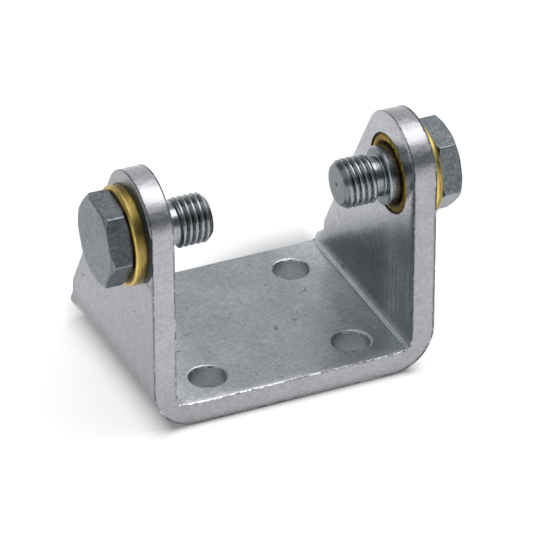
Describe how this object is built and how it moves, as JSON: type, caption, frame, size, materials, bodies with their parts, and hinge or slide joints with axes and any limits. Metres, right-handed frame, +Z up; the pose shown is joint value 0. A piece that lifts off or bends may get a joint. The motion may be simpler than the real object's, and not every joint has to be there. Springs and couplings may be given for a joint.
{
  "type": "cylinder trunnion mount",
  "caption": "Bent steel U bracket with flanged bronze bushes and threaded hexagon pivot screws that carry a round pneumatic cylinder so it can swing.",
  "frame": {"origin": "centre of the four base holes, on the underside of the base", "axes": "+Z up from the base, +X along the pivot axis, -Y towards the straight front edge of the bracket"},
  "size_m": [0.0744, 0.0457, 0.0526],
  "materials": {
    "plated_sheet": "zinc plated, semi-gloss",
    "bronze": "satin, turned",
    "screw_steel": "turned, satin"
  },
  "bodies": {
    "mount": {"bracket": "plated_sheet", "bush_left": "bronze", "bush_right": "bronze"},
    "left_screw": {"screw_left": "screw_steel"},
    "right_screw": {"screw_right": "screw_steel"}
  },
  "joints": [
    {"name": "left_pivot", "type": "hinge", "parent": "mount", "child": "left_screw", "pos_m": [-0.03015, -0.0107, 0.0394], "axis": [1, 0, 0], "continuous": true},
    {"name": "right_pivot", "type": "hinge", "parent": "mount", "child": "right_screw", "pos_m": [0.03015, -0.0107, 0.0394], "axis": [1, 0, 0], "continuous": true}
  ]
}
